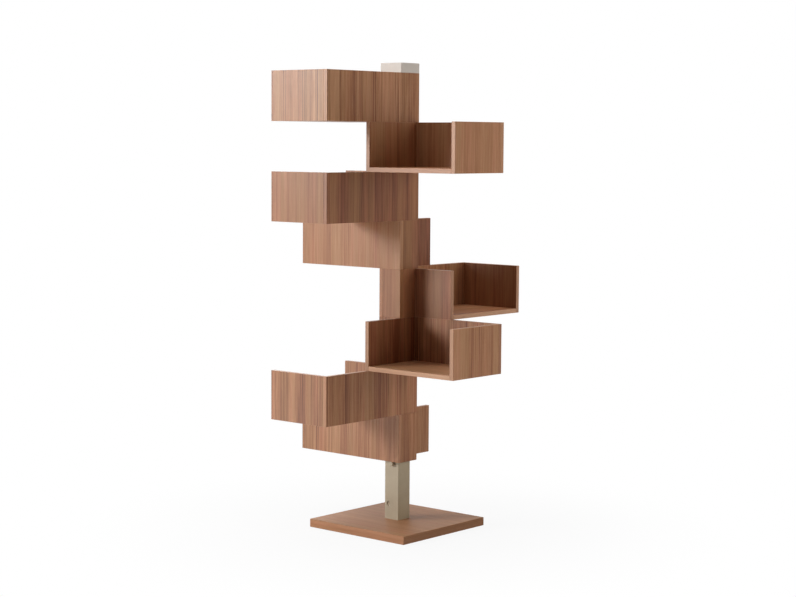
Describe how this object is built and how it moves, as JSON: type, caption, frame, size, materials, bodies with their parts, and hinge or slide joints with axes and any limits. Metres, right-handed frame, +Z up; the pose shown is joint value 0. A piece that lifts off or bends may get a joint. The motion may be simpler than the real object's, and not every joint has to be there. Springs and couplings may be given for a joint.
{
  "type": "spine bookshelf",
  "caption": "Free-standing book tower: open wooden trays with square sleeves, threaded on a square metal post and turned in different directions, over a flat base, with a cap on top.",
  "frame": {"origin": "on the floor, on the axis of the post, which is the middle of the footprint", "axes": "+Z up along the post, +X along the length of the third tray from the bottom, away from the post"},
  "size_m": [0.808, 0.808, 1.566],
  "materials": {
    "veneer": "satin",
    "dowel_wood": "raw",
    "post_paint": "satin",
    "cap_paint": "satin",
    "steel": "zinc plated",
    "plug_plastic": "moulded",
    "felt": "felt"
  },
  "bodies": {
    "stand": {"base_board": "veneer", "base_felt": "felt", "clamp_plate": "steel", "foot_bolts": "steel", "foot_spigot": "steel", "post_tube": "post_paint", "lock_screw": "post_paint", "support_pin": "post_paint"},
    "tray_1": {"tray_1_back_panel": "veneer", "tray_1_divider_panel": "veneer", "tray_1_end_panel": "veneer", "tray_1_floor_panel": "veneer", "tray_1_sleeve_boards": "veneer", "tray_1_dowels": "dowel_wood"},
    "tray_2": {"tray_2_back_panel": "veneer", "tray_2_divider_panel": "veneer", "tray_2_end_panel": "veneer", "tray_2_floor_panel": "veneer", "tray_2_sleeve_boards": "veneer", "tray_2_dowels": "dowel_wood"},
    "tray_3": {"tray_3_back_panel": "veneer", "tray_3_divider_panel": "veneer", "tray_3_end_panel": "veneer", "tray_3_floor_panel": "veneer", "tray_3_sleeve_boards": "veneer", "tray_3_dowels": "dowel_wood"},
    "tray_4": {"tray_4_back_panel": "veneer", "tray_4_divider_panel": "veneer", "tray_4_end_panel": "veneer", "tray_4_floor_panel": "veneer", "tray_4_sleeve_boards": "veneer", "tray_4_dowels": "dowel_wood"},
    "tray_5": {"tray_5_back_panel": "veneer", "tray_5_divider_panel": "veneer", "tray_5_end_panel": "veneer", "tray_5_floor_panel": "veneer", "tray_5_sleeve_boards": "veneer", "tray_5_dowels": "dowel_wood"},
    "tray_6": {"tray_6_back_panel": "veneer", "tray_6_divider_panel": "veneer", "tray_6_end_panel": "veneer", "tray_6_floor_panel": "veneer", "tray_6_sleeve_boards": "veneer", "tray_6_dowels": "dowel_wood"},
    "tray_7": {"tray_7_back_panel": "veneer", "tray_7_divider_panel": "veneer", "tray_7_end_panel": "veneer", "tray_7_floor_panel": "veneer", "tray_7_sleeve_boards": "veneer", "tray_7_dowels": "dowel_wood"},
    "tray_8": {"tray_8_back_panel": "veneer", "tray_8_divider_panel": "veneer", "tray_8_end_panel": "veneer", "tray_8_floor_panel": "veneer", "tray_8_sleeve_boards": "veneer", "tray_8_dowels": "dowel_wood"},
    "cap": {"top_cap": "cap_paint", "cap_plug": "plug_plastic"}
  },
  "joints": [
    {"name": "lift_tray_1", "type": "slide", "parent": "stand", "child": "tray_1", "axis": [0, 0, 1], "range_m": [0, 1.305]},
    {"name": "lift_tray_2", "type": "slide", "parent": "tray_1", "child": "tray_2", "axis": [0, 0, 1], "range_m": [0, 1.142]},
    {"name": "lift_tray_3", "type": "slide", "parent": "tray_2", "child": "tray_3", "axis": [0, 0, 1], "range_m": [0, 0.979]},
    {"name": "lift_tray_4", "type": "slide", "parent": "tray_3", "child": "tray_4", "axis": [0, 0, 1], "range_m": [0, 0.816]},
    {"name": "lift_tray_5", "type": "slide", "parent": "tray_4", "child": "tray_5", "axis": [0, 0, 1], "range_m": [0, 0.653]},
    {"name": "lift_tray_6", "type": "slide", "parent": "tray_5", "child": "tray_6", "axis": [0, 0, 1], "range_m": [0, 0.49]},
    {"name": "lift_tray_7", "type": "slide", "parent": "tray_6", "child": "tray_7", "axis": [0, 0, 1], "range_m": [0, 0.327]},
    {"name": "lift_tray_8", "type": "slide", "parent": "tray_7", "child": "tray_8", "axis": [0, 0, 1], "range_m": [0, 0.164]},
    {"name": "lift_cap", "type": "slide", "parent": "tray_8", "child": "cap", "axis": [0, 0, 1], "range_m": [0, 0.035]}
  ]
}
